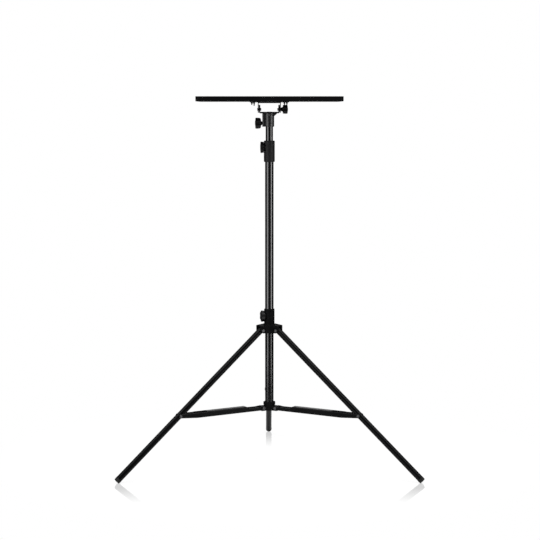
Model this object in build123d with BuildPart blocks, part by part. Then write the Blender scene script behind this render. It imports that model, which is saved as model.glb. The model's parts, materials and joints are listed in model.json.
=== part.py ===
from build123d import *
import os
from math import atan2, cos, hypot, radians, sin, sqrt

os.makedirs("parts", exist_ok=True)

# Portable tripod stand with a flat tray, drawn standing on the floor with the legs spread.
# Millimetres, +Z up. Two legs point towards the front (-Y) and one to the rear (+Y).

# Standard round tubes
main_od = 22.0
mast_od = 19.0
leg_od = 16.0
tube_wall = 1.0

# Legs and braces
leg_spread = 49.69         # degrees between a leg and the column
leg_length = 540.6         # crown pivot to the end of the foot
leg_end = 6.2              # leg tube beyond its pivot
brace_on_leg = 311.5       # crown pivot to brace pivot, along the leg
spreader_drop = 203.2      # crown pivots down to spreader pivots
foot_cap = 7.0
foot_plug = 16.0
foot_round = 1.5
leg_names = ("rear", "left", "right")
rear_bearing = 90.0        # degrees round the column, the others evenly spaced
bearings = {name: rear_bearing + i * 360.0 / len(leg_names) for i, name in enumerate(leg_names)}

# Fits, all radial or per side
slide_gap = 0.1
seat_gap = 0.05
pin_gap = 0.05
face_gap = 0.3
side_gap = 0.5

# Pins and rivets
pin_r = 2.5
pin_head_r = 4.2
pin_head = 1.6

# Crown that slides on the main tube
crown_wall = 2.9
crown_swing_gap = 1.4
crown_lobe = 7.5           # lobe beyond the leg pivot
crown_cheek = 3.0
crown_roof_sheet = 2.2
crown_roof_gap = 0.5       # between the swinging leg end and the roof
crown_skirt = 6.6          # crown below the leg pivot
crown_foot_gap = 1.0       # lobe kept beyond the pivot at the bottom edge
crown_corner = 3.0
crown_edge = 0.8
crown_seat = 1.6           # rivet seat beyond the cheek
crown_seat_gap = 0.6       # seat round the rivet head
crown_collar_od = 27.0
crown_collar_height = 41.9

# Spreader fixed at the foot of the main tube
spreader_od = 31.0
spreader_body_od = 29.0
spreader_floor = 2.5
spreader_below = 7.4       # below its pivots
spreader_lug_top = 5.0     # lugs above the pivots
spreader_ring_rise = 7.0   # ring starts this far above the pivots
spreader_ring = 7.7
spreader_fold_gap = 1.8    # between the ring and a folded brace end
spreader_edge = 1.0
spreader_lug_end = 8.0     # lug beyond its pivot
spreader_lug_round = 5.0

# Channel braces
brace_sheet = 1.5
brace_bend = 2.5
brace_end_r = 5.2          # rounded ends of the cheeks
brace_neck_top = 3.5       # between the inner end and the web
brace_neck = 15.0          # neck starts this far from the inner pivot
brace_crest_in = 7.9       # top of the web at its inner end
brace_crest_out = 6.2      # top at the outer end of the full height
brace_mid_bottom = 8.0
web_start = 50.0           # web from here along the brace
web_short = 78.0           # web ends this far from the outer pivot
hump_end = 48.0            # full height ends this far from the outer pivot
step_run = 6.0

# Main tube, its collar and the mast
main_length = 670.9
collar_od = 28.0
collar_height = 54.5
collar_overlap = 29.0
collar_edge = 1.2
mast_shown = 35.5
mast_length = 690.0
boss_r = 8.0
boss_proud = 1.0
stud_r = 3.0
mast_knob_bearing = 184.0
mast_knob_drop = 17.0
crown_knob_bearing = 194.0
crown_knob_drop = 19.0

# Star knobs
knob_lobes = 6
clamp_knob_r = 14.5
clamp_knob_body = 6.8
clamp_knob_neck = 0.8
socket_knob_r = 14.0
socket_knob_body = 12.0
socket_knob_neck = 6.0
tilt_knob_r = 11.3
tilt_knob_body = 12.6
tilt_knob_neck = 5.0
neck_r = 6.2               # neck where it meets the knob
neck_tip_r = 4.6           # neck at its free end

# Head
socket_od = 25.0
socket_height = 34.0
socket_roof = 5.0
socket_boss = 5.5          # side boss beyond the socket
socket_boss_width = 16.0
socket_corner = 3.0
socket_edge = 0.8
socket_knob_rise = 9.0
rib_sheet = 3.0
rib_run = 7.0
rib_drop = 8.0
rib_end = 1.0
yoke_sheet = 4.0
yoke_width = 22.0
yoke_outer = 54.2
yoke_bend = 5.0
yoke_crest = 11.5          # arms above the tilt axis
yoke_top_flat = 1.0        # flat left on top of each arm
tilt_rise = 10.3           # tilt axis above the socket
bracket_sheet = 2.0
bracket_rise = 15.7        # bracket plate above the tilt axis
bracket_depth = 36.0
bracket_corner = 1.0
ear_r = 9.0
tilt_pin_r = 3.0
tilt_head_r = 4.0
tilt_head = 2.5

# Tray
tray_width = 367.5
tray_depth = 275.0
tray_thick = 12.5
tray_corner = 10.0
tray_edge = 1.2
plate_width = 100.0
plate_depth = 84.0
plate_sheet = 2.0
plate_corner = 8.0

# Sizes that follow from those above
main_r = main_od / 2
mast_r = mast_od / 2
leg_r = leg_od / 2
spread = radians(leg_spread)
leg_swing = hypot(leg_r, leg_end)
fork_gap = leg_od + 2 * side_gap
crown_sleeve_r = main_r + slide_gap + crown_wall
crown_pivot_r = crown_sleeve_r + leg_swing + crown_swing_gap
spreader_pivot_r = spreader_od / 2 + brace_end_r + spreader_fold_gap
foot_rise = (leg_r - foot_round) * sin(spread) + foot_round * (1 - cos(spread))
foot_reach = crown_pivot_r + leg_length * sin(spread)
crown_z = leg_length * cos(spread) + foot_rise
spreader_z = crown_z - spreader_drop
brace_run = crown_pivot_r + brace_on_leg * sin(spread) - spreader_pivot_r
brace_climb = spreader_drop - brace_on_leg * cos(spread)
brace_length = hypot(brace_run, brace_climb)
brace_tilt = atan2(brace_climb, brace_run)
crown_roof_z = crown_z + leg_swing + crown_roof_gap
crown_top_z = crown_roof_z + crown_roof_sheet
crown_bottom_z = crown_z - crown_skirt
crown_collar_top_z = crown_top_z + crown_collar_height
crown_knob_z = crown_collar_top_z - crown_knob_drop
spreader_bottom_z = spreader_z - spreader_below
main_bottom_z = spreader_bottom_z + spreader_floor
main_top_z = main_bottom_z + main_length
collar_bottom_z = main_top_z - collar_overlap
collar_top_z = collar_bottom_z + collar_height
mast_knob_z = collar_top_z - mast_knob_drop
socket_bottom_z = collar_top_z + mast_shown
socket_top_z = socket_bottom_z + socket_height
mast_top_z = socket_top_z - socket_roof - face_gap
mast_bottom_z = mast_top_z - mast_length
socket_knob_z = socket_bottom_z + socket_knob_rise
tilt_z = socket_top_z + tilt_rise
bracket_z = tilt_z + bracket_rise
plate_z = bracket_z + bracket_sheet
tray_z = plate_z + plate_sheet

# The origin lies on the floor under the middle of the outline, so the column stands off it in Y.
lean = sin(spread) / 2
rear_foot = foot_reach + (leg_r - foot_round) * cos(spread) + foot_round * (1 - sin(spread))
front_foot = foot_reach / 2 + (leg_r - foot_round) * sqrt(1 - lean**2) + foot_round * (1 - lean)
column_y = (max(front_foot, tray_depth / 2) - max(rear_foot, tray_depth / 2)) / 2


def level(z):
    # Level plane at a height, centred on the column.
    return Plane((0, column_y, z))


def outward(bearing, z):
    # Plane through the column axis that faces out along a bearing.
    a = radians(bearing)
    return Plane((0, column_y, z), x_dir=(0, 0, 1), z_dir=(cos(a), sin(a), 0))


def upright(bearing):
    # Upright plane of one leg, x out from the column and y up from the floor.
    a = radians(bearing)
    return Plane((0, column_y, 0), x_dir=(cos(a), sin(a), 0), z_dir=(sin(a), -cos(a), 0))


def along_leg(bearing, distance):
    # Plane across a leg, a distance below its crown pivot.
    a = radians(bearing)
    run = crown_pivot_r + distance * sin(spread)
    start = (run * cos(a), column_y + run * sin(a), crown_z - distance * cos(spread))
    way = (cos(a) * sin(spread), sin(a) * sin(spread), -cos(spread))
    return Plane(start, x_dir=(sin(a), -cos(a), 0), z_dir=way)


def along_brace(bearing):
    # Plane of one brace, x along it from the spreader pivot and y square to it.
    a = radians(bearing)
    start = (spreader_pivot_r * cos(a), column_y + spreader_pivot_r * sin(a), spreader_z)
    way = (cos(a) * cos(brace_tilt), sin(a) * cos(brace_tilt), sin(brace_tilt))
    return Plane(start, x_dir=way, z_dir=(sin(a), -cos(a), 0))


def half_section(plane):
    # Plane holding the axis of another plane, x out from that axis and y along it.
    return Plane(plane.origin, x_dir=plane.x_dir, z_dir=plane.x_dir.cross(plane.z_dir))


def save(builder, label):
    builder.part.label = label
    export_step(builder.part, "parts/" + label + ".step")


def tube(label, plane, outer_r, length):
    with BuildPart() as piece:
        with BuildSketch(plane):
            Circle(outer_r)
            Circle(outer_r - tube_wall, mode=Mode.SUBTRACT)
        extrude(amount=length)
    save(piece, label)


def headed_pin(label, plane, x, y, shank_r, grip, head_r, head):
    # Pin through both cheeks of a fork, with a rounded head at each end.
    with BuildPart() as piece:
        with BuildSketch(plane):
            with Locations((x, y)):
                Circle(shank_r)
        extrude(amount=grip, both=True)
        with BuildSketch(plane.offset(grip)):
            with Locations((x, y)):
                Circle(head_r)
        extrude(amount=head, taper=20)
        with BuildSketch(plane.offset(-grip)):
            with Locations((x, y)):
                Circle(head_r)
        extrude(amount=-head, taper=20)
    save(piece, label)


def star_knob(label, plane, radius, neck_from, neck, body, stud_from, bore_r, bore_to):
    # Scalloped hand knob on a neck, with a moulded-in stud or a blind bore for a bolt.
    body_from = neck_from + neck
    body_to = body_from + body
    scallop_r = radius * 0.42
    with BuildPart() as piece:
        with BuildSketch(plane.offset(body_from)):
            Circle(radius)
            with PolarLocations(radius * 1.2, knob_lobes, start_angle=180 / knob_lobes):
                Circle(scallop_r, mode=Mode.SUBTRACT)
        extrude(amount=body)
        with BuildSketch(half_section(plane)):
            with BuildLine():
                Polyline(
                    (0, body_from),
                    (radius * 0.72, body_from),
                    (radius, body_from + body * 0.3),
                    (radius, body_to - body * 0.2),
                )
                Spline(
                    (radius, body_to - body * 0.2),
                    (radius * 0.8, body_to - body * 0.04),
                    (0, body_to),
                    tangents=((0, 1), (-1, 0)),
                )
                Line((0, body_to), (0, body_from))
            make_face()
        revolve(axis=Axis(plane.origin, plane.z_dir), mode=Mode.INTERSECT)
        with BuildSketch(half_section(plane)):
            with BuildLine():
                Polyline(
                    (0, neck_from),
                    (neck_tip_r, neck_from),
                    (neck_r, body_from),
                    (neck_r, body_from + body / 2),
                    (0, body_from + body / 2),
                    close=True,
                )
            make_face()
        revolve(axis=Axis(plane.origin, plane.z_dir))
        if bore_to > neck_from:
            with BuildSketch(plane.offset(neck_from)):
                Circle(bore_r)
            extrude(amount=bore_to - neck_from, mode=Mode.SUBTRACT)
        if stud_from < neck_from:
            with BuildSketch(plane.offset(stud_from)):
                Circle(stud_r)
            extrude(amount=body_from - stud_from)
    save(piece, label)


# Main tube
tube("main_tube", level(main_bottom_z), main_r, main_length)

# Moulded collar on top of the main tube, bored for the mast above the tube end
mast_boss_out = collar_od / 2 + boss_proud
with BuildPart() as upper_collar:
    with BuildSketch(level(collar_bottom_z)):
        Circle(collar_od / 2)
    extrude(amount=collar_height)
    chamfer(upper_collar.edges().filter_by(GeomType.CIRCLE), collar_edge)
    with BuildSketch(outward(mast_knob_bearing, mast_knob_z)):
        Circle(boss_r)
    extrude(amount=mast_boss_out)
    with BuildSketch(level(collar_bottom_z)):
        Circle(main_r + seat_gap)
    extrude(amount=collar_overlap, mode=Mode.SUBTRACT)
    with BuildSketch(level(collar_bottom_z)):
        Circle(mast_r + slide_gap)
    extrude(amount=collar_height, mode=Mode.SUBTRACT)
    with BuildSketch(outward(mast_knob_bearing, mast_knob_z)):
        Circle(stud_r + pin_gap)
    extrude(amount=mast_boss_out, mode=Mode.SUBTRACT)
save(upper_collar, "upper_collar")

star_knob(
    "mast_knob",
    outward(mast_knob_bearing, mast_knob_z),
    clamp_knob_r,
    mast_boss_out + face_gap,
    clamp_knob_neck,
    clamp_knob_body,
    mast_r + face_gap,
    0,
    0,
)

# Spreader moulding that closes the foot of the main tube, with a lug for each brace
lug_top_z = spreader_z + spreader_lug_top
ring_z = spreader_z + spreader_ring_rise
with BuildPart() as spreader_collar:
    with BuildSketch(level(spreader_bottom_z)):
        Circle(spreader_body_od / 2)
    extrude(amount=ring_z - spreader_bottom_z)
    with BuildSketch(level(ring_z)):
        Circle(spreader_od / 2)
    extrude(amount=spreader_ring)
    chamfer(spreader_collar.edges().group_by(Axis.Z)[-1], spreader_edge)
    for bearing in bearings.values():
        with BuildSketch(upright(bearing)) as lug:
            with Locations((0, spreader_bottom_z)):
                Rectangle(
                    spreader_pivot_r + spreader_lug_end,
                    lug_top_z - spreader_bottom_z,
                    align=(Align.MIN, Align.MIN),
                )
            fillet(lug.vertices().group_by(Axis.X)[-1], spreader_lug_round)
        extrude(amount=leg_r, both=True)
    with BuildSketch(level(main_bottom_z)):
        Circle(main_r + seat_gap)
    extrude(amount=ring_z + spreader_ring - main_bottom_z, mode=Mode.SUBTRACT)
    for bearing in bearings.values():
        with BuildSketch(upright(bearing)):
            with Locations((spreader_pivot_r, spreader_z)):
                Circle(pin_r + seat_gap)
        extrude(amount=fork_gap, both=True, mode=Mode.SUBTRACT)
save(spreader_collar, "spreader_collar")

# Crown: a six-sided cap on a clamp collar, with a pocket for each leg and seats for the leg rivets
lobe_half = fork_gap / 2 + crown_cheek
lobe_reach = crown_pivot_r + crown_lobe
crown_pin_grip = lobe_half + crown_seat
crown_boss_out = crown_collar_od / 2 + boss_proud
with BuildPart() as crown:
    with BuildSketch(level(crown_bottom_z)) as cap:
        corners = []
        for bearing in bearings.values():
            a = radians(bearing)
            for side in (-lobe_half, lobe_half):
                corners.append((lobe_reach * cos(a) - side * sin(a), lobe_reach * sin(a) + side * cos(a)))
        Polygon(*corners, align=None)
        fillet(cap.vertices(), crown_corner)
    extrude(amount=crown_top_z - crown_bottom_z)
    chamfer(crown.edges().group_by(Axis.Z)[-1], crown_edge)
    with BuildSketch(level(crown_top_z)):
        Circle(crown_collar_od / 2)
    extrude(amount=crown_collar_height)
    chamfer(crown.edges().group_by(Axis.Z)[-1], collar_edge)
    with BuildSketch(outward(crown_knob_bearing, crown_knob_z)):
        Circle(boss_r)
    extrude(amount=crown_boss_out)
    for bearing in bearings.values():
        with BuildSketch(upright(bearing)):
            with Locations((crown_sleeve_r, crown_bottom_z)):
                Rectangle(lobe_reach, crown_roof_z - crown_bottom_z, align=(Align.MIN, Align.MIN))
        extrude(amount=fork_gap / 2, both=True, mode=Mode.SUBTRACT)
        with BuildSketch(upright(bearing)):
            with BuildLine():
                Polyline(
                    (lobe_reach, crown_z),
                    (lobe_reach + crown_lobe, crown_z),
                    (lobe_reach + crown_lobe, crown_bottom_z),
                    (crown_pivot_r + crown_foot_gap, crown_bottom_z),
                    close=True,
                )
            make_face()
        extrude(amount=lobe_half + crown_cheek, both=True, mode=Mode.SUBTRACT)
        with BuildSketch(upright(bearing)):
            with Locations((crown_pivot_r, crown_z)):
                Circle(pin_r + seat_gap)
        extrude(amount=2 * lobe_half, both=True, mode=Mode.SUBTRACT)
        for side in (-1, 1):
            with BuildSketch(upright(bearing).offset(side * crown_pin_grip)):
                with Locations((crown_pivot_r, crown_z)):
                    Circle(pin_head_r + crown_seat_gap)
            extrude(amount=side * lobe_half, mode=Mode.SUBTRACT)
    with BuildSketch(level(crown_bottom_z)):
        Circle(main_r + slide_gap)
    extrude(amount=crown_collar_top_z - crown_bottom_z, mode=Mode.SUBTRACT)
    with BuildSketch(outward(crown_knob_bearing, crown_knob_z)):
        Circle(stud_r + pin_gap)
    extrude(amount=crown_boss_out, mode=Mode.SUBTRACT)
save(crown, "crown")

star_knob(
    "crown_knob",
    outward(crown_knob_bearing, crown_knob_z),
    clamp_knob_r,
    crown_boss_out + face_gap,
    clamp_knob_neck,
    clamp_knob_body,
    main_r + face_gap,
    0,
    0,
)

# Three alike legs, each with its foot, brace, pins and rivets
brace_half = fork_gap / 2 + brace_sheet
web_end = brace_length - web_short
hump = brace_length - hump_end
for name, bearing in bearings.items():
    tube_length = leg_end + leg_length - foot_cap
    with BuildPart() as leg:
        with BuildSketch(along_leg(bearing, -leg_end)):
            Circle(leg_r)
            Circle(leg_r - tube_wall, mode=Mode.SUBTRACT)
        extrude(amount=tube_length)
        with BuildSketch(upright(bearing)):
            with Locations((crown_pivot_r, crown_z)):
                Circle(pin_r + pin_gap)
        extrude(amount=leg_od, both=True, mode=Mode.SUBTRACT)
    save(leg, name + "_leg")

    with BuildPart() as foot:
        with BuildSketch(along_leg(bearing, leg_length - foot_cap)):
            Circle(leg_r)
        extrude(amount=foot_cap)
        fillet(foot.edges().group_by(Axis.Z)[0], foot_round)
        with BuildSketch(along_leg(bearing, leg_length - foot_cap)):
            Circle(leg_r - tube_wall - seat_gap)
        extrude(amount=-foot_plug)
    save(foot, name + "_foot")

    headed_pin(
        name + "_leg_pin", upright(bearing), crown_pivot_r, crown_z, pin_r, crown_pin_grip, pin_head_r, pin_head
    )
    headed_pin(
        name + "_brace_pin",
        upright(bearing),
        spreader_pivot_r,
        spreader_z,
        pin_r,
        brace_half + face_gap,
        pin_head_r,
        pin_head,
    )

    # Pressed channel: full width outline with bent shoulders, hollowed from below, web cut back at both ends
    flat = along_brace(bearing)
    channel_high = brace_crest_in + brace_mid_bottom
    crest_start = flat.origin + flat.x_dir * web_start + flat.y_dir * brace_crest_in
    crest_way = flat.x_dir * (hump - web_start) + flat.y_dir * (brace_crest_out - brace_crest_in)
    with BuildPart() as brace:
        with BuildSketch(flat):
            with BuildLine():
                Polyline(
                    (0, -brace_end_r),
                    (hump, -brace_mid_bottom),
                    (brace_length, -brace_end_r),
                    (brace_length, brace_end_r),
                    (hump + step_run, brace_end_r),
                    (hump, brace_crest_out),
                    (web_start, brace_crest_in),
                    (web_start - step_run, brace_neck_top),
                    (brace_neck, brace_neck_top),
                    (0, brace_end_r),
                    close=True,
                )
            make_face()
            with Locations((0, 0), (brace_length, 0)):
                Circle(brace_end_r)
        extrude(amount=brace_half, both=True)
        shoulder = crest_start + crest_way / 2
        edges = brace.edges().filter_by(Axis(crest_start, crest_way))
        fillet(edges.sort_by_distance(shoulder)[0:2], brace_bend)
        with BuildSketch(Plane(crest_start, x_dir=flat.z_dir, z_dir=crest_way).offset(-step_run)) as hollow:
            with Locations((0, brace_sheet)):
                Rectangle(fork_gap, 2 * channel_high, align=(Align.CENTER, Align.MIN))
            fillet(hollow.vertices().group_by(Axis.Y)[0], brace_bend - brace_sheet)
        extrude(amount=web_end - web_start + 2 * step_run, mode=Mode.SUBTRACT)
        with BuildSketch(flat):
            with Locations((-2 * brace_end_r, 0)):
                Rectangle(web_start + 2 * brace_end_r, 2 * channel_high, align=(Align.MIN, Align.CENTER))
            with Locations((web_end, 0)):
                Rectangle(web_short + 2 * brace_end_r, 2 * channel_high, align=(Align.MIN, Align.CENTER))
        extrude(amount=fork_gap / 2, both=True, mode=Mode.SUBTRACT)
        with BuildSketch(flat):
            Circle(pin_r + pin_gap)
        extrude(amount=brace_half, both=True, mode=Mode.SUBTRACT)
        with BuildSketch(flat):
            with Locations((brace_length, 0)):
                Circle(pin_r + seat_gap)
        extrude(amount=brace_half, both=True, mode=Mode.SUBTRACT)
    save(brace, name + "_brace")

    # Rivets that join brace and leg, one on each cheek
    with BuildPart() as rivets:
        for side in (-1, 1):
            with BuildSketch(flat.offset(side * fork_gap / 2)):
                with Locations((brace_length, 0)):
                    Circle(pin_r)
            extrude(amount=side * brace_sheet)
            with BuildSketch(flat.offset(side * brace_half)):
                with Locations((brace_length, 0)):
                    Circle(pin_head_r)
            extrude(amount=side * pin_head, taper=20)
    save(rivets, name + "_brace_rivets")

# Mast
tube("mast_tube", level(mast_bottom_z), mast_r, mast_length)

# Head socket: a blind cup over the mast, with a side boss for its clamp screw and ribs under the yoke
socket_r = socket_od / 2
boss_out = socket_r + socket_boss
with BuildPart() as head_socket:
    with BuildSketch(level(socket_bottom_z)):
        Circle(socket_r)
    extrude(amount=socket_height)
    with BuildSketch(level(socket_bottom_z)) as side_boss:
        with Locations((-boss_out, 0)):
            Rectangle(boss_out, socket_boss_width, align=(Align.MIN, Align.CENTER))
        fillet(side_boss.vertices().group_by(Axis.X)[0], socket_corner)
    extrude(amount=socket_height)
    chamfer(head_socket.edges().group_by(Axis.Z)[0], socket_edge)
    for rib_bearing in (0.0, 90.0, 270.0):
        with BuildSketch(upright(rib_bearing)):
            with BuildLine():
                Polyline(
                    (0, socket_top_z),
                    (socket_r + rib_run, socket_top_z),
                    (socket_r + rib_run, socket_top_z - rib_end),
                    (socket_r - rib_end, socket_top_z - rib_drop),
                    (0, socket_top_z - rib_drop),
                    close=True,
                )
            make_face()
        extrude(amount=rib_sheet / 2, both=True)
    with BuildSketch(level(socket_bottom_z)):
        Circle(mast_r + slide_gap)
    extrude(amount=socket_height - socket_roof, mode=Mode.SUBTRACT)
    with BuildSketch(outward(180, socket_knob_z)):
        Circle(stud_r + pin_gap)
    extrude(amount=boss_out, mode=Mode.SUBTRACT)
save(head_socket, "head_socket")

star_knob(
    "socket_knob",
    outward(180, socket_knob_z),
    socket_knob_r,
    boss_out + face_gap,
    socket_knob_neck,
    socket_knob_body,
    mast_r + face_gap,
    0,
    0,
)

# Yoke: a bent strap with round-topped arms
yoke_half = yoke_outer / 2
across = Plane((0, column_y, 0), x_dir=(1, 0, 0), z_dir=(0, -1, 0))
endwise = Plane((0, column_y, 0), x_dir=(0, 1, 0), z_dir=(1, 0, 0))
with BuildPart() as yoke:
    with BuildSketch(across) as strap:
        with Locations((0, socket_top_z)):
            Rectangle(yoke_outer, tilt_rise + yoke_crest, align=(Align.CENTER, Align.MIN))
        fillet(strap.vertices().group_by(Axis.Y)[0], yoke_bend)
    extrude(amount=yoke_width / 2, both=True)
    with BuildSketch(across) as inside:
        with Locations((0, socket_top_z + yoke_sheet)):
            Rectangle(
                yoke_outer - 2 * yoke_sheet, tilt_rise + yoke_crest, align=(Align.CENTER, Align.MIN)
            )
        fillet(inside.vertices().group_by(Axis.Y)[0], yoke_bend - yoke_sheet)
    extrude(amount=yoke_width, both=True, mode=Mode.SUBTRACT)
    with BuildSketch(endwise) as arm:
        with Locations((0, socket_top_z)):
            Rectangle(yoke_width, tilt_rise, align=(Align.CENTER, Align.MIN))
        with Locations((0, tilt_z)):
            Rectangle(yoke_width, yoke_crest, align=(Align.CENTER, Align.MIN))
        fillet(arm.vertices().group_by(Axis.Y)[-1], (yoke_width - yoke_top_flat) / 2)
    extrude(amount=yoke_outer, both=True, mode=Mode.INTERSECT)
    with BuildSketch(endwise):
        with Locations((0, tilt_z)):
            Circle(tilt_pin_r + seat_gap)
    extrude(amount=yoke_outer, both=True, mode=Mode.SUBTRACT)
save(yoke, "yoke")

# Tilt bracket under the tray, its ears outside the yoke arms
ear_in = yoke_half + face_gap
ear_out = ear_in + bracket_sheet
with BuildPart() as tilt_bracket:
    with BuildSketch(level(bracket_z)):
        RectangleRounded(2 * ear_out, bracket_depth, bracket_corner)
    extrude(amount=bracket_sheet)
    for side in (-1, 1):
        with BuildSketch(endwise.offset(side * ear_in)):
            with BuildLine():
                Polyline(
                    (-ear_r, tilt_z),
                    (ear_r, tilt_z),
                    (bracket_depth / 2, bracket_z),
                    (-bracket_depth / 2, bracket_z),
                    close=True,
                )
            make_face()
            with Locations((0, tilt_z)):
                Circle(ear_r)
        extrude(amount=side * bracket_sheet)
    with BuildSketch(endwise):
        with Locations((0, tilt_z)):
            Circle(tilt_pin_r + pin_gap)
    extrude(amount=2 * ear_out, both=True, mode=Mode.SUBTRACT)
save(tilt_bracket, "tilt_bracket")

# Rivet on the left arm and bolt on the right arm, on the tilt axis
tilt_axis = Plane((0, column_y, tilt_z), x_dir=(0, 1, 0), z_dir=(1, 0, 0))
arm_in = yoke_half - yoke_sheet
rivet_in = tilt_axis.offset(-arm_in)
rivet_out = tilt_axis.offset(-ear_out - face_gap)
with BuildPart() as tilt_rivet:
    with BuildSketch(rivet_in):
        Circle(tilt_pin_r)
    extrude(amount=arm_in - ear_out - face_gap)
    with BuildSketch(rivet_in):
        Circle(tilt_head_r)
    extrude(amount=tilt_head, taper=25)
    with BuildSketch(rivet_out):
        Circle(tilt_head_r)
    extrude(amount=-tilt_head / 2, taper=25)
save(tilt_rivet, "tilt_rivet")

bolt_end = ear_out + face_gap + tilt_knob_neck + tilt_knob_body / 2
bolt_in = tilt_axis.offset(arm_in)
with BuildPart() as tilt_bolt:
    with BuildSketch(bolt_in):
        Circle(tilt_pin_r)
    extrude(amount=bolt_end - arm_in)
    with BuildSketch(bolt_in):
        Circle(tilt_head_r)
    extrude(amount=-tilt_head, taper=25)
save(tilt_bolt, "tilt_bolt")

star_knob(
    "tilt_knob",
    outward(0, tilt_z),
    tilt_knob_r,
    ear_out + face_gap,
    tilt_knob_neck,
    tilt_knob_body,
    ear_out + face_gap,
    tilt_pin_r + pin_gap,
    bolt_end + face_gap,
)

# Tray board on its mounting plate
with BuildPart() as tray_plate:
    with BuildSketch(level(plate_z)):
        RectangleRounded(plate_width, plate_depth, plate_corner)
    extrude(amount=plate_sheet)
save(tray_plate, "tray_plate")

with BuildPart() as tray_board:
    with BuildSketch(level(tray_z)):
        RectangleRounded(tray_width, tray_depth, tray_corner)
    extrude(amount=tray_thick)
    fillet(tray_board.edges().group_by(Axis.Z)[-1], tray_edge)
    fillet(tray_board.edges().group_by(Axis.Z)[0], tray_edge)
save(tray_board, "tray_board")
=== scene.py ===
import json
import math
import bpy
import numpy as np
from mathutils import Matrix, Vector


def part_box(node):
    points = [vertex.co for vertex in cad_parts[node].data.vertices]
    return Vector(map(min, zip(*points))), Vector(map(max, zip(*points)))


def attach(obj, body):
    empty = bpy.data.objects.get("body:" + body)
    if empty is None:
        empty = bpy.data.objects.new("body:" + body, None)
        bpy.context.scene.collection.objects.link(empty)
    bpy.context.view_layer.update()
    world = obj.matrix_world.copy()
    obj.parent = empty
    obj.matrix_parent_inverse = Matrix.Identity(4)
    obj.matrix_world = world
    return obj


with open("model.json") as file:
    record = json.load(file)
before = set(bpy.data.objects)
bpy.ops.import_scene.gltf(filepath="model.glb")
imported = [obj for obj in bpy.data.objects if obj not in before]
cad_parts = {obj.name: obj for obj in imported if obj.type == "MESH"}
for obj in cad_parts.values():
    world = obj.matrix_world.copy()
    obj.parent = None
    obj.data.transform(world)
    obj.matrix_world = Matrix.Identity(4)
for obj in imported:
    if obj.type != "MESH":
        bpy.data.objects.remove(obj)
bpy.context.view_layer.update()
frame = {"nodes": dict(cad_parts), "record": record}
nodes = frame["nodes"]

scene = bpy.context.scene
scene.view_settings.view_transform = "Standard"

legBearing = {"rear": 90.0, "left": 210.0, "right": 330.0}  # degrees, seen from above
up, down = (0, 0, 1), (0, 0, -1)
tubeLow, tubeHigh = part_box("main_tube")
columnX = (tubeLow.x + tubeHigh.x) / 2
columnY = (tubeLow.y + tubeHigh.y) / 2


# Mesh helpers
def putMesh(name, surfaces, sharpDeg=38.0):
    # surfaces are (points, quads, triangles), joined into one mesh; folds over sharpDeg stay crisp
    start = np.cumsum([0] + [len(points) for points, quads, tris in surfaces])
    verts = np.concatenate([points for points, quads, tris in surfaces])
    quads = np.concatenate([s[1] + n for s, n in zip(surfaces, start)])
    tris = np.concatenate([s[2] + n for s, n in zip(surfaces, start)])
    sides = np.repeat([4, 3], [len(quads), len(tris)])
    corners = np.concatenate([quads.ravel(), tris.ravel()])
    mesh = bpy.data.meshes.new(name)
    mesh.vertices.add(len(verts))
    mesh.vertices.foreach_set("co", verts.ravel())
    mesh.loops.add(len(corners))
    mesh.loops.foreach_set("vertex_index", corners.astype(np.int32))
    mesh.polygons.add(len(sides))
    mesh.polygons.foreach_set("loop_start", (np.cumsum(sides) - sides).astype(np.int32))
    mesh.update(calc_edges=True)
    mesh.polygons.foreach_set("use_smooth", np.ones(len(sides), bool))
    mesh.set_sharp_from_angle(angle=math.radians(sharpDeg))
    obj = bpy.data.objects.new(name, mesh)
    scene.collection.objects.link(obj)
    return obj


def crossAxes(axis):
    # two unit vectors square to axis and to each other, right-handed with it
    a = np.array(axis, float) / np.linalg.norm(axis)
    nearlyUpright = abs(a[2]) >= 0.9
    side = np.array([1.0, 0, 0]) if nearlyUpright else np.array([0, 0, 1.0])
    e1 = np.cross(side, a)
    e1 /= np.linalg.norm(e1)
    return a, e1, np.cross(a, e1)


def gridQuads(rows, segs):
    # quads of a grid of rows, closed round each row
    i, j = np.meshgrid(np.arange(rows - 1), np.arange(segs), indexing="ij")
    k = (j + 1) % segs
    return np.stack([i * segs + j, i * segs + k, (i + 1) * segs + k, (i + 1) * segs + j], -1).reshape(-1, 4)


def turned(profile, origin, axis, segs, around=None):
    # point(s, angle) = origin + axis * s + radius(s) * around(angle) * (e1 cos angle + e2 sin angle)
    # the profile is (radius, s) from the lower end out and up; a radius of 0 at an end is one shared point
    a, e1, e2 = crossAxes(axis)
    prof = np.array(profile, float)
    angle = np.linspace(0, 2 * np.pi, segs, endpoint=False)
    swell = np.ones(segs) if around is None else around(angle)
    spoke = np.cos(angle)[:, None] * e1 + np.sin(angle)[:, None] * e2
    rings = np.array(origin, float) + prof[:, 1, None, None] * a
    rings = rings + prof[:, 0, None, None] * (swell[:, None] * spoke)[None]
    lowPole, highPole = prof[0, 0] == 0, prof[-1, 0] == 0
    first, last = int(lowPole), len(prof) - int(highPole)
    rows = last - first
    points, tris = [rings[first:last].reshape(-1, 3)], [np.empty((0, 3), int)]
    j = np.arange(segs)
    k = (j + 1) % segs
    extra = rows * segs
    if lowPole:
        points.append(rings[0, :1])
        tris.append(np.stack([np.full(segs, extra), k, j], -1))
        extra += 1
    if highPole:
        points.append(rings[-1, :1])
        top = (rows - 1) * segs
        tris.append(np.stack([np.full(segs, extra), top + j, top + k], -1))
    return np.concatenate(points), gridQuads(rows, segs), np.concatenate(tris)


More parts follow.
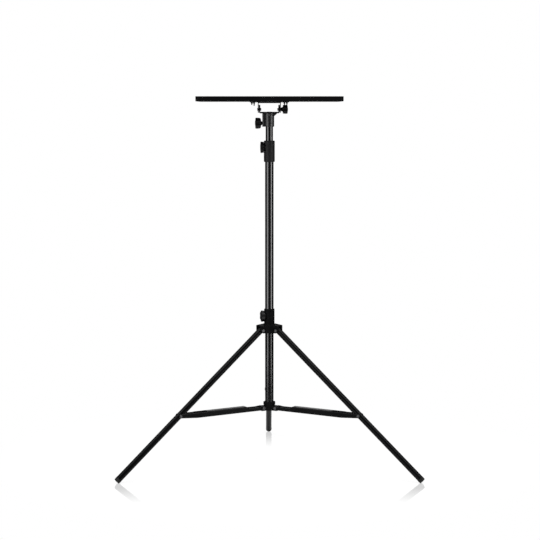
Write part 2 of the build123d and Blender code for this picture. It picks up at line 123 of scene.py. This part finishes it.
def swept(path, section, outward):
    # point(t, u) = path(t) + outward * section_x(u, t) + across * section_y(u, t), ends closed on the path
    # path is (n, 3), section is (n, m, 2) in the plane square to the path, closed round u
    path = np.array(path, float)
    along = np.gradient(path, axis=0)
    along /= np.linalg.norm(along, axis=1, keepdims=True)
    out = np.broadcast_to(np.array(outward, float), path.shape)
    out = out - (out * along).sum(1, keepdims=True) * along
    out /= np.linalg.norm(out, axis=1, keepdims=True)
    across = np.cross(along, out)
    grid = path[:, None] + section[..., :1] * out[:, None] + section[..., 1:] * across[:, None]
    n, m = section.shape[:2]
    j = np.arange(m)
    k = (j + 1) % m
    first, last = np.full(m, n * m), np.full(m, n * m + 1)
    startCap = np.stack([first, k, j], -1)
    endCap = np.stack([last, (n - 1) * m + j, (n - 1) * m + k], -1)
    points = np.concatenate([grid.reshape(-1, 3), path[:1], path[-1:]])
    return points, gridQuads(n, m), np.concatenate([startCap, endCap])


def circle(count):
    # count points evenly round a circle of radius 1
    u = np.linspace(0, 2 * np.pi, count, endpoint=False)
    return np.stack([np.cos(u), np.sin(u)], -1)


def hexagon(angle):
    # flats of a nut: the radius of a six-sided outline whose flats touch a circle of radius 1
    return 1 / np.cos((angle % (np.pi / 3)) - np.pi / 6)


def nodePoints(name):
    mesh = nodes[name].data
    co = np.empty(len(mesh.vertices) * 3)
    mesh.vertices.foreach_get("co", co)
    return co.reshape(-1, 3)


def middle(name):
    low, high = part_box(name)
    return np.array((low + high) / 2)


def levelAxis(bearing):
    # level unit vector at a bearing in degrees
    a = math.radians(bearing)
    return np.array([math.cos(a), math.sin(a), 0])


# Shader helpers
def shaderNodes(name):
    mat = bpy.data.materials.new(name)
    mat.use_nodes = True
    tree = mat.node_tree
    shader = tree.nodes["Principled BSDF"]
    coord = tree.nodes.new("ShaderNodeTexCoord")
    return mat, tree, shader, coord


def noiseNode(tree, coord, scale, detail=2.0, rough=0.5, stretch=None):
    node = tree.nodes.new("ShaderNodeTexNoise")
    node.inputs["Scale"].default_value = scale
    node.inputs["Detail"].default_value = detail
    node.inputs["Roughness"].default_value = rough
    source = coord.outputs["Object"]
    if stretch:
        mapping = tree.nodes.new("ShaderNodeMapping")
        mapping.inputs["Scale"].default_value = stretch
        tree.links.new(source, mapping.inputs["Vector"])
        source = mapping.outputs["Vector"]
    tree.links.new(source, node.inputs["Vector"])
    return node


def cellNode(tree, coord, scale, smooth):
    # rounded cells
    node = tree.nodes.new("ShaderNodeTexVoronoi")
    node.feature = "SMOOTH_F1"
    node.inputs["Scale"].default_value = scale
    node.inputs["Smoothness"].default_value = smooth
    tree.links.new(coord.outputs["Object"], node.inputs["Vector"])
    return node


def spread(tree, source, low, high, fromLow=0.3, fromHigh=0.7):
    # a value from low to high while the source runs from fromLow to fromHigh
    node = tree.nodes.new("ShaderNodeMapRange")
    node.inputs["From Min"].default_value = fromLow
    node.inputs["From Max"].default_value = fromHigh
    node.inputs["To Min"].default_value = low
    node.inputs["To Max"].default_value = high
    tree.links.new(source, node.inputs["Value"])
    return node.outputs["Result"]


def tint(tree, source, dark, pale, fromLow=0.32, fromHigh=0.72):
    # a colour from dark to pale while the source runs from fromLow to fromHigh
    ramp = tree.nodes.new("ShaderNodeValToRGB")
    ramp.color_ramp.elements[0].position = fromLow
    ramp.color_ramp.elements[0].color = (*dark, 1)
    ramp.color_ramp.elements[1].position = fromHigh
    ramp.color_ramp.elements[1].color = (*pale, 1)
    tree.links.new(source, ramp.inputs["Fac"])
    return ramp.outputs["Color"]


def setTone(tree, shader, look, toneNoise, roughNoise):
    # one noise leads the colour from dark to pale, one leads the roughness between its two values
    colour = tint(tree, toneNoise.outputs["Fac"], look["dark"], look["pale"])
    tree.links.new(colour, shader.inputs["Base Color"])
    low, high = look["rough"]
    tree.links.new(spread(tree, roughNoise.outputs["Fac"], low, high), shader.inputs["Roughness"])
    if "gloss" in look:
        shader.inputs["Specular IOR Level"].default_value = look["gloss"]


def bumped(tree, shader, heights):
    # heights are (source, strength, distance in metres), laid one over another
    below = None
    for source, strength, distance in heights:
        bump = tree.nodes.new("ShaderNodeBump")
        bump.inputs["Strength"].default_value = strength
        bump.inputs["Distance"].default_value = distance
        tree.links.new(source, bump.inputs["Height"])
        if below:
            tree.links.new(below, bump.inputs["Normal"])
        below = bump.outputs["Normal"]
    tree.links.new(below, shader.inputs["Normal"])


def mathNode(tree, operation, one, two):
    node = tree.nodes.new("ShaderNodeMath")
    node.operation = operation
    tree.links.new(one, node.inputs[0])
    tree.links.new(two, node.inputs[1])
    return node


def mixShaders(tree, share, one, two):
    node = tree.nodes.new("ShaderNodeMixShader")
    tree.links.new(share, node.inputs["Fac"])
    tree.links.new(one, node.inputs[1])
    tree.links.new(two, node.inputs[2])
    return node.outputs[0]


# Materials
bumpDeep = dict(peel=0.0002, speck=0.00008, cells=0.0002, fine=0.0001, streak=0.0001, pebble=0.0003,
                fibre=0.0002, rubber=0.0002)
bumpStrength = dict(speck=0.05, fine=0.06, streak=0.15, pebble=0.25, fibre=0.12, rubber=0.2)


def coatedSteel(name, look):
    # powder coat: soft orange peel, fine specks and slow changes of gloss
    mat, tree, shader, coord = shaderNodes(name)
    cloud = noiseNode(tree, coord, look["cloud"], detail=3.0)
    peel = noiseNode(tree, coord, look["peel"], detail=2.0, rough=0.4)
    speck = noiseNode(tree, coord, look["speck"], detail=1.0, rough=0.6)
    setTone(tree, shader, look, cloud, cloud)
    peelBump = (peel.outputs["Fac"], look["peelBump"], bumpDeep["peel"])
    speckBump = (speck.outputs["Fac"], bumpStrength["speck"], bumpDeep["speck"])
    bumped(tree, shader, [peelBump, speckBump])
    return mat


def mouldedPlastic(name, look, fineShare=2.3):
    # spark-eroded grain: rounded cells with a finer grain over them, and paler rubbed patches
    mat, tree, shader, coord = shaderNodes(name)
    cloud = noiseNode(tree, coord, look["cloud"], detail=3.0)
    cells = cellNode(tree, coord, look["grain"], smooth=0.6)
    fine = noiseNode(tree, coord, look["grain"] * fineShare, detail=1.0)
    setTone(tree, shader, look, cloud, cloud)
    cellBump = (cells.outputs["Distance"], look["grainBump"], bumpDeep["cells"])
    fineBump = (fine.outputs["Fac"], bumpStrength["fine"], bumpDeep["fine"])
    bumped(tree, shader, [cellBump, fineBump])
    return mat


def zincSteel(name, look):
    # turned, dull zinc: patchy tone and faint streaks
    mat, tree, shader, coord = shaderNodes(name)
    cloud = noiseNode(tree, coord, look["cloud"], detail=4.0, rough=0.6)
    streak = noiseNode(tree, coord, look["streak"], detail=2.0, rough=0.5, stretch=(1, 1, 6))
    setTone(tree, shader, look, cloud, streak)
    shader.inputs["Metallic"].default_value = 1.0
    bumped(tree, shader, [(streak.outputs["Fac"], bumpStrength["streak"], bumpDeep["streak"])])
    return mat


def boardLaminate(name, look):
    # pressed laminate: fine pebbled skin and faint long fibres
    mat, tree, shader, coord = shaderNodes(name)
    cloud = noiseNode(tree, coord, look["cloud"], detail=3.0)
    fibre = noiseNode(tree, coord, look["fibre"], detail=3.0, rough=0.6, stretch=(0.12, 1, 1))
    pebble = cellNode(tree, coord, look["pebble"], smooth=0.8)
    setTone(tree, shader, look, cloud, fibre)
    pebbleBump = (pebble.outputs["Distance"], bumpStrength["pebble"], bumpDeep["pebble"])
    fibreBump = (fibre.outputs["Fac"], bumpStrength["fibre"], bumpDeep["fibre"])
    bumped(tree, shader, [pebbleBump, fibreBump])
    return mat


def footRubber(name, look):
    # dull rubber: fine grain, with scuffs that are paler and rougher
    mat, tree, shader, coord = shaderNodes(name)
    scuff = noiseNode(tree, coord, look["scuff"], detail=5.0, rough=0.65)
    grain = noiseNode(tree, coord, look["grain"], detail=1.0)
    setTone(tree, shader, look, scuff, scuff)
    bumped(tree, shader, [(grain.outputs["Fac"], bumpStrength["rubber"], bumpDeep["rubber"])])
    return mat


columnCoat = dict(dark=(0.004, 0.004, 0.0043), pale=(0.007, 0.007, 0.0075), rough=(0.13, 0.18), gloss=0.9,
                  cloud=9, peel=700, speck=3000, peelBump=0.04)
legCoat = dict(dark=(0.002, 0.002, 0.0022), pale=(0.0035, 0.0035, 0.0038), rough=(0.18, 0.24), gloss=0.06,
               cloud=11, peel=800, speck=3200, peelBump=0.10)
bracketCoat = dict(dark=(0.004, 0.004, 0.0043), pale=(0.007, 0.007, 0.0074), rough=(0.42, 0.55), gloss=0.2,
                   cloud=30, peel=1200, speck=4200, peelBump=0.22)
crownPlastic = dict(dark=(0.0022, 0.0022, 0.0024), pale=(0.004, 0.004, 0.0043), rough=(0.5, 0.62), gloss=0.05,
                    cloud=45, grain=1500, grainBump=0.25)
collarPlastic = dict(dark=(0.009, 0.009, 0.0094), pale=(0.0135, 0.0135, 0.014), rough=(0.5, 0.6), gloss=0.2,
                     cloud=45, grain=1500, grainBump=0.25)
socketPlastic = dict(dark=(0.006, 0.006, 0.0063), pale=(0.009, 0.009, 0.0094), rough=(0.38, 0.46), gloss=0.8,
                     cloud=45, grain=1700, grainBump=0.12)
knobPlastic = dict(dark=(0.005, 0.005, 0.0053), pale=(0.009, 0.009, 0.0094), rough=(0.4, 0.5), gloss=0.2,
                   cloud=60, grain=1900, grainBump=0.18)
rivetZinc = dict(dark=(0.04, 0.04, 0.0415), pale=(0.085, 0.085, 0.087), rough=(0.32, 0.46),
                 cloud=260, streak=500)
feetRubber = dict(dark=(0.006, 0.006, 0.006), pale=(0.014, 0.014, 0.0136), rough=(0.62, 0.8), gloss=0.15,
                  scuff=140, grain=2600)
trayBoard = dict(dark=(0.0022, 0.0022, 0.0024), pale=(0.004, 0.004, 0.0043), rough=(0.4, 0.52), gloss=0.03,
                 cloud=7, fibre=160, pebble=900)

finish = {
    "column_steel": coatedSteel("columnCoat", columnCoat),
    "leg_steel": coatedSteel("legCoat", legCoat),
    "bracket_steel": coatedSteel("bracketCoat", bracketCoat),
    "moulding": mouldedPlastic("crownPlastic", crownPlastic),
    "collar_moulding": mouldedPlastic("collarPlastic", collarPlastic),
    "socket_moulding": mouldedPlastic("socketPlastic", socketPlastic),
    "knob_plastic": mouldedPlastic("knobPlastic", knobPlastic),
    "rivet_steel": zincSteel("rivetZinc", rivetZinc),
    "foot_rubber": footRubber("feetRubber", feetRubber),
    "tray_board": boardLaminate("trayBoard", trayBoard),
}
slotOf = {p["node"]: p["material_slot"] for p in frame["record"]["subparts"]}
for nodeName, obj in nodes.items():
    obj.data.materials.clear()
    obj.data.materials.append(finish[slotOf[nodeName]])
print("finishes set on", len(nodes), "pieces")


def dress(obj, slot, body):
    obj.data.materials.append(finish[slot])
    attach(obj, body)


# Domed rivet heads over the pins, each with a small set dimple
rivet = dict(radius=0.0043, rise=0.0019, dimple=0.0011, sink=0.0004, under=0.0002, head=0.0016, rings=9)


def rivetProfile(base):
    # a dome, height = rise * (1 - (r / radius)^2), with a dimple of sink * exp(-(r / dimple)^2) in its middle
    share = np.linspace(1, 0, rivet["rings"])
    r = share * rivet["radius"]
    high = base + rivet["rise"] * (1 - share**2) - rivet["sink"] * np.exp(-((r / rivet["dimple"]) ** 2))
    low = base - rivet["under"]
    return [(0, low), (rivet["radius"], low)] + list(zip(r, high))


pinBody = {"_leg_pin": "crown", "_brace_pin": "column", "_brace_rivets": None}  # none: the brace itself
rivetCount = 0
for suffix, owner in pinBody.items():
    low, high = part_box("rear" + suffix)
    seat = (high.x - low.x) / 2 - rivet["head"]  # inner face of the head, from the rear pin that lies along X
    for leg, bearing in legBearing.items():
        a = math.radians(bearing)
        across = np.array([math.sin(a), -math.cos(a), 0])
        centre = middle(leg + suffix)
        heads = [turned(rivetProfile(seat), centre, side * across, segs=24) for side in (-1, 1)]
        piece = putMesh(leg + suffix + "_heads", heads)
        dress(piece, "rivet_steel", owner or leg + "_brace")
        rivetCount += 2
print("rivet heads:", rivetCount)

# Bolts that hold the mounting plate to the board: washer, nut and threaded end below, flush head on top
trayBolt = dict(front=0.0445, rear=0.039, reach=0.030, frontEnd=0.0062, rearEnd=0.0082)
washer = dict(radius=0.0028, high=0.001, wall=0.0008, bevel=0.0003)
nut = dict(flat=0.0024, high=0.0024, wall=0.9, top=0.88)
thread = dict(rod=0.0015, ridge=0.0002, pitch=0.0008, steps=4, hidden=0.0005, point=0.7, tip=0.0004)
boltHead = dict(radius=0.0046, deep=0.001, wall=0.0001, proud=0.00022, rim=0.93, cup=0.5, cupFloor=0.45,
                sink=0.0006, middle=0.0007)
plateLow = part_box("tray_plate")[0]
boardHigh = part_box("tray_board")[1]


def washerProfile():
    # a flat disc with a bevelled lower edge
    r, high = washer["radius"], washer["high"]
    return [(0, 0.0), (r, 0.0), (r, washer["wall"]), (r - washer["bevel"], high), (0, high)]


def nutProfile():
    # straight flats that draw in at the end
    r, base, high = nut["flat"], washer["high"], nut["high"]
    flats = [(0, base), (r, base), (r, base + high * nut["wall"])]
    return flats + [(r * nut["top"], base + high), (0, base + high)]


def threadProfile(end):
    # radius = rod + ridge * sin(2 pi s / pitch), with a blunt point
    s = np.arange(washer["high"] + nut["high"] - thread["hidden"], end, thread["pitch"] / thread["steps"])
    r = thread["rod"] + thread["ridge"] * np.sin(2 * np.pi * s / thread["pitch"])
    tip = end + thread["tip"]
    return [(0, s[0])] + list(zip(r, s)) + [(thread["rod"] * thread["point"], tip), (0, tip)]


def boltHeadProfile():
    # a low rim round a cup
    r, proud = boltHead["radius"], boltHead["proud"]
    outside = [(0, -boltHead["deep"]), (r, -boltHead["deep"]), (r, boltHead["wall"])]
    rim = [(r * boltHead["rim"], proud), (r * boltHead["cup"], proud)]
    cup = [(r * boltHead["cupFloor"], -boltHead["sink"]), (0, -boltHead["middle"])]
    return outside + rim + cup


boltEnds, boltHeads = [], []
frontRow = (-1, trayBolt["front"], trayBolt["frontEnd"])
rearRow = (1, trayBolt["rear"], trayBolt["rearEnd"])
for sideX in (-1, 1):
    for sideY, x, end in (frontRow, rearRow):
        spot = np.array([columnX + sideX * x, columnY + sideY * trayBolt["reach"], plateLow.z])
        boltEnds.append(turned(washerProfile(), spot, down, segs=24))
        boltEnds.append(turned(nutProfile(), spot, down, segs=36, around=hexagon))
        boltEnds.append(turned(threadProfile(end), spot, down, segs=20))
        top = np.array([spot[0], spot[1], boardHigh.z])
        boltHeads.append(turned(boltHeadProfile(), top, up, segs=30))
dress(putMesh("trayBoltEnds", boltEnds), "bracket_steel", "tray")
dress(putMesh("trayBoltHeads", boltHeads), "bracket_steel", "tray")
print("tray bolts placed")

# Flush screw that holds the yoke to the socket, between the yoke arms
yokeScrew = dict(radius=0.0056, proud=0.0004, strap=0.004, deep=0.002, point=0.6, cone=0.0002, wall=0.4,
                 rim=0.92, cup=0.42, cupFloor=0.38, sink=0.0010, middle=0.0012)
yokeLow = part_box("yoke")[0]
spot = np.array([columnX, columnY, yokeLow.z + yokeScrew["strap"]])  # upper face of the strap
r, proud = yokeScrew["radius"], yokeScrew["proud"]
cone = [(0, -yokeScrew["deep"]), (r * yokeScrew["point"], -yokeScrew["deep"]), (r, -yokeScrew["cone"])]
rim = [(r, proud * yokeScrew["wall"]), (r * yokeScrew["rim"], proud), (r * yokeScrew["cup"], proud)]
cup = [(r * yokeScrew["cupFloor"], -yokeScrew["sink"]), (0, -yokeScrew["middle"])]
dress(putMesh("yokeScrew", [turned(cone + rim + cup, spot, up, segs=36)]), "rivet_steel", "head")
print("yoke screw placed")

# Star knobs: a turned cap set into each outer face, and a lobed skirt that fills the back of the grip
knobCap = dict(share=0.50, rise=0.0007, groove=0.0004, grooveAt=0.8, grooveWide=0.06, sink=0.0002, deep=0.003,
               rings=10)
knobSkirt = dict(share=0.97, scallop=0.42, scallopOut=1.2, lobes=6, overlap=0.004, rings=7)
knobAxis = {"mast_knob": 184.0, "crown_knob": 194.0, "socket_knob": 180.0, "tilt_knob": 0.0}  # bearings
# from the column axis: the skirt's back and where the star begins; then its bore at a lobe, and how far its
# back edge draws in and how deep that is
skirtPlace = {
    "mast_knob": dict(back=0.0144, star=0.0161, bore=0.0108, high=0.0004, deep=0.0004),
    "crown_knob": dict(back=0.0139, star=0.0156, bore=0.0108, high=0.0004, deep=0.0004),
    "socket_knob": dict(back=0.0210, star=0.0243, bore=0.0050, high=0.0080, deep=0.0036),
    "tilt_knob": dict(back=0.0344, star=0.0347, bore=0.0050, high=0.0012, deep=0.0012),
}


def starOutline(angle):
    # a circle of radius 1 cut by round scallops whose centres lie outside it
    step = 2 * np.pi / knobSkirt["lobes"]
    off = (angle + step / 2) % step - step / 2
    far, cut = knobSkirt["scallopOut"], knobSkirt["scallop"]
    inside = np.clip(cut**2 - (far * np.sin(off)) ** 2, 0, None)
    return np.where(inside > 0, np.minimum(1, far * np.cos(off) - np.sqrt(inside)), 1)


def skirtProfile(place, grip):
    # quarter of an ellipse at the back edge, then a straight wall that ends inside the star
    back, bore, front = place["back"], place["bore"], place["star"] + knobSkirt["overlap"]
    wide = grip * knobSkirt["share"]
    t = np.linspace(0, np.pi / 2, knobSkirt["rings"])
    edge = list(zip(wide - place["high"] * (1 - np.sin(t)), back + place["deep"] * (1 - np.cos(t))))
    return [(bore, back)] + edge + [(wide, front), (bore, front), (bore, back)]


def capProfile(reach, grip):
    # a dome, height = rise * (1 - r^4) with r as a share of the radius, and a ring groove near its edge
    big, base = grip * knobCap["share"], reach - knobCap["deep"]
    r = np.linspace(1, 0, knobCap["rings"])
    groove = knobCap["groove"] * np.exp(-(((r - knobCap["grooveAt"]) / knobCap["grooveWide"]) ** 2))
    dome = reach - knobCap["sink"] + knobCap["rise"] * (1 - r**4) - groove
    return [(0, base), (big, base)] + list(zip(r * big, dome))


for name, bearing in knobAxis.items():
    axis = levelAxis(bearing)
    low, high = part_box(name)
    centre = np.array([columnX, columnY, (low.z + high.z) / 2])
    reach = ((nodePoints(name) - centre) @ axis).max()
    grip = (high.z - low.z) / 2
    skirt = turned(skirtProfile(skirtPlace[name], grip), centre, axis, segs=72, around=starOutline)
    dress(putMesh(name + "_skirt", [skirt]), "knob_plastic", name)
    cap = turned(capProfile(reach, grip), centre, axis, segs=36)
    dress(putMesh(name + "_cap", [cap]), "knob_plastic", name)
print("knob skirts and caps placed")

# Mould parting lines on the collars, and a root fillet where the crown's collar meets its plate
moulding = dict(ridge=0.0003, sides=8, steps=12, point=0.2, crownCollar=0.0419)
fillet = dict(size=0.0022, inset=0.001, under=0.0002, rings=7)
# radius of each collar, bearings of its lines in degrees, and how far they stop from its lower and upper end
upperSeam = dict(radius=0.014, bearings=(94.0, 274.0), low=0.0014, high=0.0014)
crownSeam = dict(radius=0.0135, bearings=(104.0, 284.0), low=0.002, high=0.0014)
socketSeam = dict(radius=0.0125, bearings=(45.0, 315.0), low=0.001, high=0.009)


def partingLines(seam, zLow, zHigh):
    # round threads half sunk in the wall of a collar, thin at their two ends
    count = moulding["steps"]
    z = np.linspace(zLow + seam["low"], zHigh - seam["high"], count)
    fromEnd = np.minimum(np.arange(count), np.arange(count)[::-1])
    size = np.minimum(1, fromEnd + moulding["point"])
    section = size[:, None, None] * (moulding["ridge"] * circle(moulding["sides"]))[None]
    lines = []
    for bearing in seam["bearings"]:
        out = levelAxis(bearing)
        path = np.array([columnX, columnY, 0]) + out * seam["radius"] + z[:, None] * np.array(up)
        lines.append(swept(path, section, out))
    return lines


def rootFillet(radius, z):
    # quarter-round hollow between a collar and the plate under it
    t = np.linspace(0, np.pi / 2, fillet["rings"])
    r = radius + fillet["size"] * (1 - np.sin(t))
    h = z + fillet["size"] * (1 - np.cos(t))
    inner, low = radius - fillet["inset"], z - fillet["under"]
    prof = [(inner, low), (radius + fillet["size"], low)] + list(zip(r, h)) + [(inner, h[-1]), (inner, low)]
    return turned(prof, (columnX, columnY, 0), up, segs=48)


upperLow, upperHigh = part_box("upper_collar")
lines = partingLines(upperSeam, upperLow.z, upperHigh.z)
dress(putMesh("upperCollarSeams", lines), "collar_moulding", "column")
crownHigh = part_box("crown")[1]
crownTop = crownHigh.z - moulding["crownCollar"]  # upper face of the crown's plate
lines = partingLines(crownSeam, crownTop, crownHigh.z)
lines.append(rootFillet(crownSeam["radius"], crownTop))
dress(putMesh("crownSeams", lines), "moulding", "crown")
socketLow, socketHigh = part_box("head_socket")
lines = partingLines(socketSeam, socketLow.z, socketHigh.z)
dress(putMesh("socketSeams", lines), "socket_moulding", "head")
print("moulded seams placed")

# Weld beads that join the tilt bracket to the mounting plate
weld = dict(radius=0.0011, ripple=0.00022, wave=0.0021, near=0.006, far=0.024, steps=72, sides=12, blunt=6,
            least=0.02)
bracketLow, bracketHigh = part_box("tilt_bracket")
beads = []
for y in (bracketLow.y, bracketHigh.y):
    for x0, x1 in ((-weld["far"], -weld["near"]), (weld["near"], weld["far"])):
        count = weld["steps"]
        x = np.linspace(x0, x1, count)
        path = np.stack([columnX + x, np.full(count, y), np.full(count, plateLow.z)], -1)
        # size = (radius + ripple * sin(2 pi x / wave)) * sqrt(1 - fromMiddle^blunt), fromMiddle is -1 to 1
        size = weld["radius"] + weld["ripple"] * np.sin(2 * np.pi * x / weld["wave"])
        fromMiddle = (x - (x0 + x1) / 2) / ((x1 - x0) / 2)
        size = size * np.sqrt(np.clip(1 - fromMiddle ** weld["blunt"], weld["least"], 1))
        beads.append(swept(path, size[:, None, None] * circle(weld["sides"])[None], down))
dress(putMesh("bracketWelds", beads), "bracket_steel", "tray")

# Lips where the rubber feet close the leg tubes
footLip = dict(radius=0.00805, lip=0.00045, wide=0.0022, back=0.007, inset=0.0006, rings=9)
for leg in legBearing:
    start = middle(leg + "_leg_pin")
    foot = nodePoints(leg + "_foot")
    end = foot.mean(0)
    axis = (end - start) / np.linalg.norm(end - start)
    tip = ((foot - start) @ axis).max()
    seam = tip - footLip["back"]
    s = np.linspace(0, 1, footLip["rings"])
    bulge = footLip["radius"] + footLip["lip"] * np.sin(np.pi * s)  # half-sine lip
    inner = footLip["radius"] - footLip["inset"]
    prof = [(inner, seam)] + list(zip(bulge, seam + s * footLip["wide"]))
    prof += [(inner, seam + footLip["wide"]), (inner, seam)]
    dress(putMesh(leg + "_footLip", [turned(prof, start, axis, segs=40)]), "foot_rubber", leg + "_leg")
print("welds and foot lips placed")

# Floor: white to the eye and to reflections, taking a soft shadow and a faint mirror image beside each foot
floorLook = dict(radius=0.76, rings=9, tone=0.95, rough=0.6, shade=0.14, near=0.5, far=0.74, mirror=0.36,
                 footNear=0.05, footFar=0.22)
# a flat disc: height 0, radius growing ring by ring, facing up
floorRings = [(r, 0) for r in np.linspace(0, floorLook["radius"], floorLook["rings"])]
floor = putMesh("floor", [turned(floorRings, (0, 0, 0), down, segs=96)])
mat, tree, shader, coord = shaderNodes("paleFloor")
shader.inputs["Base Color"].default_value = (floorLook["tone"], floorLook["tone"], floorLook["tone"], 1)
shader.inputs["Roughness"].default_value = floorLook["rough"]
shader.inputs["Specular IOR Level"].default_value = 0.0
glow = tree.nodes.new("ShaderNodeEmission")
glow.inputs["Strength"].default_value = 1.0
mirror = tree.nodes.new("ShaderNodeBsdfGlossy")
mirror.inputs["Color"].default_value = (1, 1, 1, 1)
mirror.inputs["Roughness"].default_value = 0.0
path = tree.nodes.new("ShaderNodeLightPath")
straight = mathNode(tree, "ADD", path.outputs["Is Camera Ray"], path.outputs["Is Glossy Ray"])
seen = mathNode(tree, "ADD", straight.outputs[0], path.outputs["Is Transmission Ray"])
seen.use_clamp = True
away = tree.nodes.new("ShaderNodeVectorMath")
away.operation = "LENGTH"
tree.links.new(coord.outputs["Object"], away.inputs[0])
shade = spread(tree, away.outputs["Value"], floorLook["shade"], 0.0, floorLook["near"], floorLook["far"])
withShade = mixShaders(tree, shade, glow.outputs[0], shader.outputs[0])
nearest = None  # distance to the nearest foot
for leg in legBearing:
    foot = nodePoints(leg + "_foot")
    gap = tree.nodes.new("ShaderNodeVectorMath")
    gap.operation = "DISTANCE"
    gap.inputs[1].default_value = foot[foot[:, 2].argmin()]
    tree.links.new(coord.outputs["Object"], gap.inputs[0])
    least = gap
    if nearest:
        least = mathNode(tree, "MINIMUM", nearest.outputs["Value"], gap.outputs["Value"])
    nearest = least
footNear, footFar = floorLook["footNear"], floorLook["footFar"]
glaze = spread(tree, nearest.outputs["Value"], floorLook["mirror"], 0.0, footNear, footFar)
withMirror = mixShaders(tree, glaze, withShade, mirror.outputs[0])
whole = mixShaders(tree, seen.outputs[0], shader.outputs[0], withMirror)
faces = tree.nodes.new("ShaderNodeNewGeometry")
clear = tree.nodes.new("ShaderNodeBsdfTransparent")
# clear from below, so the underside of the tray can be seen
fromUnder = mixShaders(tree, faces.outputs["Backfacing"], whole, clear.outputs[0])
tree.links.new(fromUnder, tree.nodes["Material Output"].inputs["Surface"])
floor.data.materials.append(mat)

# World: white all round to the eye and in the floor's mirror image; other reflections see it white behind the
# stand only and dim elsewhere, and dull surfaces get an even fill
worldLook = dict(fill=0.12, dim=0.01, white=1.0, edge=0.94, full=0.99)
world = bpy.data.worlds.new("studio")
world.use_nodes = True
scene.world = world
tree = world.node_tree
back = tree.nodes["Background"]
back.inputs["Color"].default_value = (1, 1, 1, 1)
coord = tree.nodes.new("ShaderNodeTexCoord")
split = tree.nodes.new("ShaderNodeSeparateXYZ")
tree.links.new(coord.outputs["Generated"], split.inputs[0])
dim, white = worldLook["dim"], worldLook["white"]
behind = spread(tree, split.outputs["Y"], dim, white, worldLook["edge"], worldLook["full"])
path = tree.nodes.new("ShaderNodeLightPath")
glossy = mathNode(tree, "MAXIMUM", path.outputs["Is Glossy Ray"], path.outputs["Is Transmission Ray"])
# a mix node's inputs 0, 2 and 3 are its share and its two values
fill = tree.nodes.new("ShaderNodeMix")
fill.inputs[2].default_value = worldLook["fill"]
tree.links.new(glossy.outputs[0], fill.inputs[0])
tree.links.new(behind, fill.inputs[3])
seen = mathNode(tree, "MAXIMUM", path.outputs["Is Camera Ray"], path.outputs["Is Singular Ray"])
eye = tree.nodes.new("ShaderNodeMix")
eye.inputs[3].default_value = white
tree.links.new(seen.outputs[0], eye.inputs[0])
tree.links.new(fill.outputs[0], eye.inputs[2])
tree.links.new(eye.outputs[0], back.inputs["Strength"])


# Soft boxes: one on each side of the camera, and two overhead, behind and in front of the stand
def softBox(name, look):
    lamp = bpy.data.lights.new(name, "AREA")
    lamp.shape = "RECTANGLE"
    lamp.size, lamp.size_y = look["size"]
    lamp.energy = look["watts"]
    obj = bpy.data.objects.new(name, lamp)
    scene.collection.objects.link(obj)
    a = math.radians(look["bearing"])
    target = Vector((columnX, columnY, look["aim"]))
    obj.location = target + Vector((look["off"] * math.sin(a), -look["off"] * math.cos(a), look["up"]))
    obj.rotation_euler = (target - obj.location).to_track_quat("-Z", "Y").to_euler()


leftBox = dict(size=(1.6, 2.2), watts=32, bearing=-50, off=2.3, up=0.0, aim=0.95)
rightBox = dict(size=(0.8, 2.2), watts=28, bearing=57, off=2.3, up=0.0, aim=0.95)
topBox = dict(size=(5.6, 1.6), watts=72, bearing=180, off=0.6, up=2.3, aim=0.6)
frontBox = dict(size=(3.0, 0.85), watts=44, bearing=0, off=0.95, up=2.0, aim=0.2)
softBox("leftBox", leftBox)
softBox("rightBox", rightBox)
softBox("topBox", topBox)
softBox("frontBox", frontBox)

# Camera: a little below the tray, looking slightly down
eyeLook = dict(x=-0.0168, back=4.1578, z=0.9223, yaw=0.2556, down=5.659, lens=107.835, sensor=36, clipEnd=60)
lens = bpy.data.cameras.new("camera")
lens.lens = eyeLook["lens"]
lens.sensor_width = eyeLook["sensor"]
lens.clip_end = eyeLook["clipEnd"]
camera = bpy.data.objects.new("camera", lens)
scene.collection.objects.link(camera)
camera.location = (eyeLook["x"], columnY - eyeLook["back"], eyeLook["z"])
camera.rotation_euler = (math.radians(90 - eyeLook["down"]), 0, math.radians(-eyeLook["yaw"]))
scene.camera = camera
print("floor, light and camera set")

bpy.context.view_layer.update()
